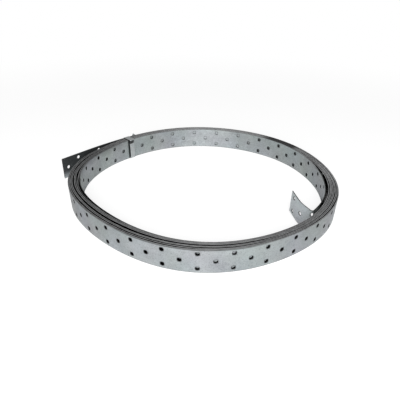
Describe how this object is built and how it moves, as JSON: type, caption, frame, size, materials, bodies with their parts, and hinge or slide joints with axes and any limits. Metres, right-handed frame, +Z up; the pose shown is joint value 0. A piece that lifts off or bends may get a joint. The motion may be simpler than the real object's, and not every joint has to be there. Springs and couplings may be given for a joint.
{
  "type": "perforated metal strap coil",
  "caption": "Loose coil of galvanised steel strap with staggered round holes, both ends sprung free, held by one narrow band tie.",
  "frame": {"origin": "on the coil's axis, at the level of the floor that it lies on", "axes": "+Z up along the coil's axis; seen from above, the outer end springs away at 142.5 degrees from +X, and the inner end stands inside the ring on the +X -Y side"},
  "size_m": [0.4058, 0.3797, 0.036],
  "materials": {
    "galvanised_strap": "hot-dip galvanised sheet, dull grey with fine spangle, darker slit edges",
    "band_steel": "bright zinc-plated band, smooth"
  },
  "bodies": {
    "root": {"strap": "galvanised_strap", "tie_band": "band_steel"}
  },
  "joints": []
}
